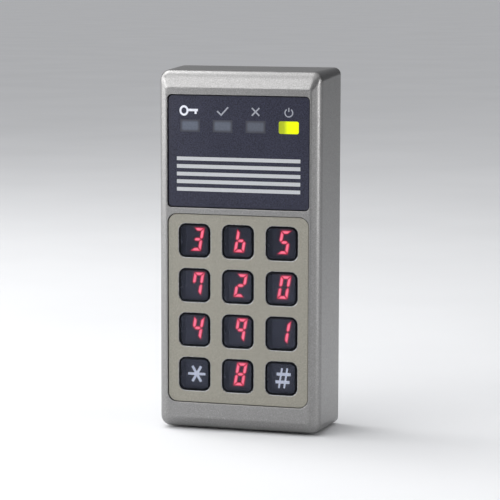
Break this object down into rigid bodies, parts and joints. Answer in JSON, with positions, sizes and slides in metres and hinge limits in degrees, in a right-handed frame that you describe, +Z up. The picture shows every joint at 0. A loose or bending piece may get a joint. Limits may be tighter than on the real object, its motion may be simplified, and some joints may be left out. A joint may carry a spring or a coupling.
{
  "type": "keypad access reader",
  "caption": "Tall wall-mounted keypad reader: bevelled metal cover, dark window with indicator lights above, smoked push keys with lit digits below.",
  "frame": {"origin": "middle of the back face, on the wall plane, on the base plate's own material", "axes": "+Z up along the reader's height, +Y into the wall (the keys face -Y and are pressed towards +Y), +X to the right as the user sees it"},
  "size_m": [0.0724, 0.033, 0.1538],
  "materials": {
    "silver_paint": "satin metallic silver paint on die-cast aluminium",
    "smoked_window": "smooth smoked acrylic, printed on its back",
    "beige_paint": "satin beige metallic paint",
    "smoked_key": "polished smoked clear plastic",
    "display_body": "LED display module with red segments",
    "silicone": "matt silicone",
    "circuit_board": "solder-masked glass epoxy",
    "black_plastic": "moulded",
    "indicator_unlit": "milky diffuser, unlit",
    "indicator_lit": "lit yellow-green diffuser",
    "led_lens": "clear epoxy lens",
    "aluminium_can": "bare can",
    "terminal_green": "moulded",
    "nickel_brass": "nickel plated",
    "steel": "zinc plated",
    "rubber": "matt",
    "base_steel": "grey plated sheet steel"
  },
  "bodies": {
    "housing": {"front_cover": "silver_paint", "window_panel": "smoked_window", "keypad_bezel": "beige_paint", "display_row1_left": "display_body", "display_row1_mid": "display_body", "display_row1_right": "display_body", "display_row2_left": "display_body", "display_row2_mid": "display_body", "display_row2_right": "display_body", "display_row3_left": "display_body", "display_row3_mid": "display_body", "display_row3_right": "display_body", "display_row4_mid": "display_body", "key_mat": "silicone", "key_pcb": "circuit_board", "control_pcb": "circuit_board", "light_shield": "black_plastic", "indicator_lens_lock": "indicator_unlit", "indicator_led_lock": "led_lens", "indicator_lens_accept": "indicator_unlit", "indicator_led_accept": "led_lens", "indicator_lens_reject": "indicator_unlit", "indicator_led_reject": "led_lens", "indicator_lens_power": "indicator_lit", "indicator_led_power": "led_lens", "buzzer": "black_plastic", "relay": "black_plastic", "controller_chip": "black_plastic", "tamper_switch": "black_plastic", "board_socket": "black_plastic", "board_header": "black_plastic", "capacitor": "aluminium_can", "terminal_block": "terminal_green", "spacer_top_left": "nickel_brass", "board_screw_top_left": "steel", "spacer_top_right": "nickel_brass", "board_screw_top_right": "steel", "spacer_bottom_left": "nickel_brass", "board_screw_bottom_left": "steel", "spacer_bottom_right": "nickel_brass", "board_screw_bottom_right": "steel", "cover_screw": "steel", "cable_grommet": "rubber", "base_plate": "base_steel"},
    "key_row1_left": {"key_row1_left": "smoked_key"},
    "key_row1_mid": {"key_row1_mid": "smoked_key"},
    "key_row1_right": {"key_row1_right": "smoked_key"},
    "key_row2_left": {"key_row2_left": "smoked_key"},
    "key_row2_mid": {"key_row2_mid": "smoked_key"},
    "key_row2_right": {"key_row2_right": "smoked_key"},
    "key_row3_left": {"key_row3_left": "smoked_key"},
    "key_row3_mid": {"key_row3_mid": "smoked_key"},
    "key_row3_right": {"key_row3_right": "smoked_key"},
    "key_row4_left": {"key_row4_left": "smoked_key"},
    "key_row4_mid": {"key_row4_mid": "smoked_key"},
    "key_row4_right": {"key_row4_right": "smoked_key"}
  },
  "joints": [
    {"name": "press_row1_left", "type": "slide", "parent": "housing", "child": "key_row1_left", "axis": [0, 1, 0], "range_m": [0, 0.0015], "stiffness_N_per_m": 400, "springref_m": -0.001, "deforming": ["key_mat"]},
    {"name": "press_row1_mid", "type": "slide", "parent": "housing", "child": "key_row1_mid", "axis": [0, 1, 0], "range_m": [0, 0.0015], "stiffness_N_per_m": 400, "springref_m": -0.001, "deforming": ["key_mat"]},
    {"name": "press_row1_right", "type": "slide", "parent": "housing", "child": "key_row1_right", "axis": [0, 1, 0], "range_m": [0, 0.0015], "stiffness_N_per_m": 400, "springref_m": -0.001, "deforming": ["key_mat"]},
    {"name": "press_row2_left", "type": "slide", "parent": "housing", "child": "key_row2_left", "axis": [0, 1, 0], "range_m": [0, 0.0015], "stiffness_N_per_m": 400, "springref_m": -0.001, "deforming": ["key_mat"]},
    {"name": "press_row2_mid", "type": "slide", "parent": "housing", "child": "key_row2_mid", "axis": [0, 1, 0], "range_m": [0, 0.0015], "stiffness_N_per_m": 400, "springref_m": -0.001, "deforming": ["key_mat"]},
    {"name": "press_row2_right", "type": "slide", "parent": "housing", "child": "key_row2_right", "axis": [0, 1, 0], "range_m": [0, 0.0015], "stiffness_N_per_m": 400, "springref_m": -0.001, "deforming": ["key_mat"]},
    {"name": "press_row3_left", "type": "slide", "parent": "housing", "child": "key_row3_left", "axis": [0, 1, 0], "range_m": [0, 0.0015], "stiffness_N_per_m": 400, "springref_m": -0.001, "deforming": ["key_mat"]},
    {"name": "press_row3_mid", "type": "slide", "parent": "housing", "child": "key_row3_mid", "axis": [0, 1, 0], "range_m": [0, 0.0015], "stiffness_N_per_m": 400, "springref_m": -0.001, "deforming": ["key_mat"]},
    {"name": "press_row3_right", "type": "slide", "parent": "housing", "child": "key_row3_right", "axis": [0, 1, 0], "range_m": [0, 0.0015], "stiffness_N_per_m": 400, "springref_m": -0.001, "deforming": ["key_mat"]},
    {"name": "press_row4_left", "type": "slide", "parent": "housing", "child": "key_row4_left", "axis": [0, 1, 0], "range_m": [0, 0.0015], "stiffness_N_per_m": 400, "springref_m": -0.001, "deforming": ["key_mat"]},
    {"name": "press_row4_mid", "type": "slide", "parent": "housing", "child": "key_row4_mid", "axis": [0, 1, 0], "range_m": [0, 0.0015], "stiffness_N_per_m": 400, "springref_m": -0.001, "deforming": ["key_mat"]},
    {"name": "press_row4_right", "type": "slide", "parent": "housing", "child": "key_row4_right", "axis": [0, 1, 0], "range_m": [0, 0.0015], "stiffness_N_per_m": 400, "springref_m": -0.001, "deforming": ["key_mat"]}
  ]
}
